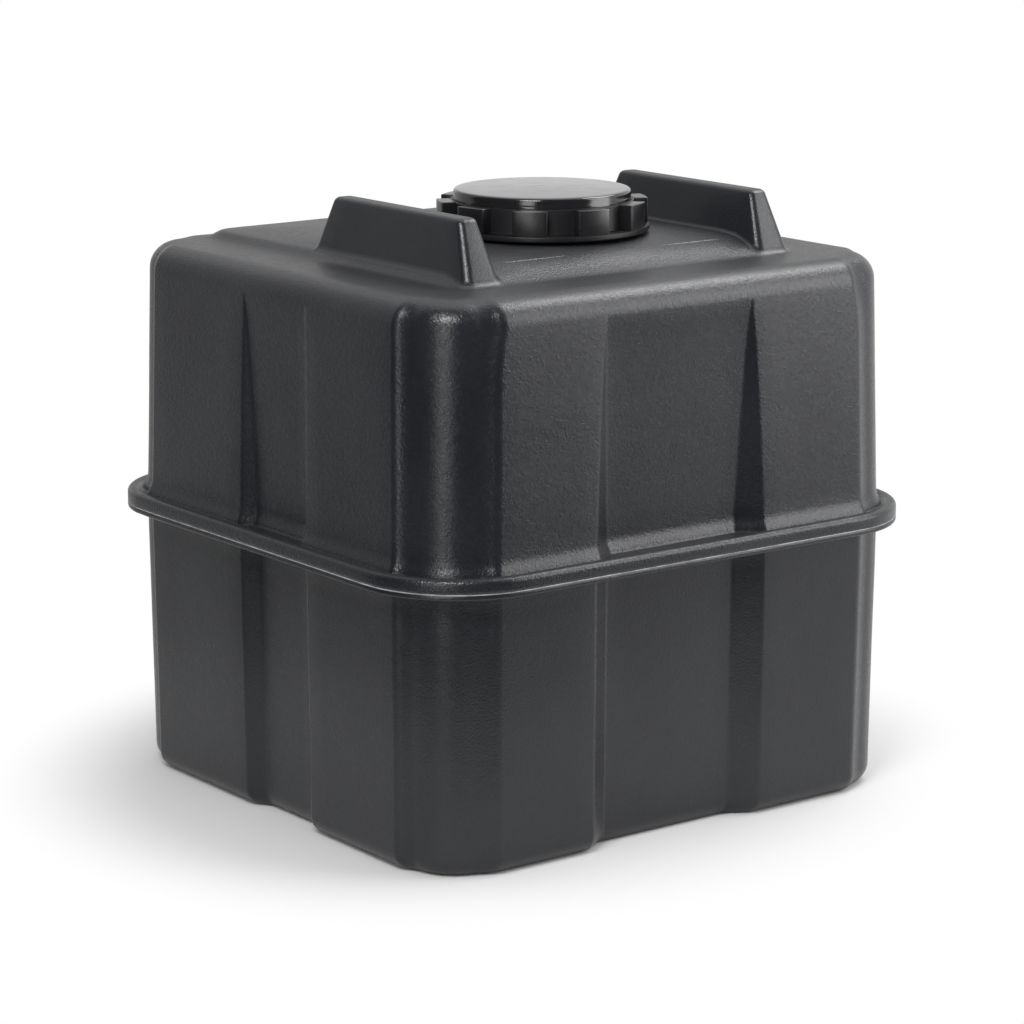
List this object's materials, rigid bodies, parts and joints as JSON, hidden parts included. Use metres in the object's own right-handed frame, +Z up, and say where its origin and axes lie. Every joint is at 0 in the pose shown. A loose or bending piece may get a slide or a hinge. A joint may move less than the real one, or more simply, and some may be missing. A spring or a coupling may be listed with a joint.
{
  "type": "septic tank",
  "caption": "Moulded plastic septic tank in two half shells joined at a wide flange, with recessed faces, lifting fins on the deck and a screw cover over the access neck",
  "frame": {"origin": "Middle of the flat base, on the floor.", "axes": "+Z up; X runs along the front face, which is at -Y with the ramp of the deck."},
  "size_m": [1.2, 1.168, 1.168],
  "materials": {
    "lower_shell": "smooth dark charcoal moulded polyethylene",
    "upper_shell": "dark charcoal moulded polyethylene with a fine leather grain",
    "weld": "pale weld line",
    "cover": "black injection moulded plastic, half gloss",
    "gasket": "black rubber"
  },
  "bodies": {
    "tank": {"lower_front_wall": "lower_shell", "lower_back_wall": "lower_shell", "lower_left_wall": "lower_shell", "lower_right_wall": "lower_shell", "lower_front_left_corner": "lower_shell", "lower_front_right_corner": "lower_shell", "lower_back_left_corner": "lower_shell", "lower_back_right_corner": "lower_shell", "tank_floor": "lower_shell", "upper_front_wall": "upper_shell", "upper_back_wall": "upper_shell", "upper_left_wall": "upper_shell", "upper_right_wall": "upper_shell", "upper_front_left_corner": "upper_shell", "upper_front_right_corner": "upper_shell", "upper_back_left_corner": "upper_shell", "upper_back_right_corner": "upper_shell", "deck": "upper_shell", "plateau": "upper_shell", "left_fin": "upper_shell", "right_fin": "upper_shell", "neck": "upper_shell", "upper_flange": "upper_shell", "lower_flange": "lower_shell", "weld_bead": "weld"},
    "seal": {"cover_gasket": "gasket"},
    "cover": {"cover_ring": "cover", "cover_lugs": "cover", "cover_disc": "cover"}
  },
  "joints": [
    {"name": "cover_lift", "type": "slide", "parent": "tank", "child": "seal", "axis": [0, 0, 1], "range_m": [0, 0.0605]},
    {"name": "cover_turn", "type": "hinge", "parent": "seal", "child": "cover", "pos_m": [0, -0.107, 1.136], "axis": [0, 0, 1], "range_deg": [0, 540]}
  ],
  "couplings": [
    {"joint": "cover_lift", "follows": "cover_turn", "m_per_rad": 0.0063662}
  ]
}
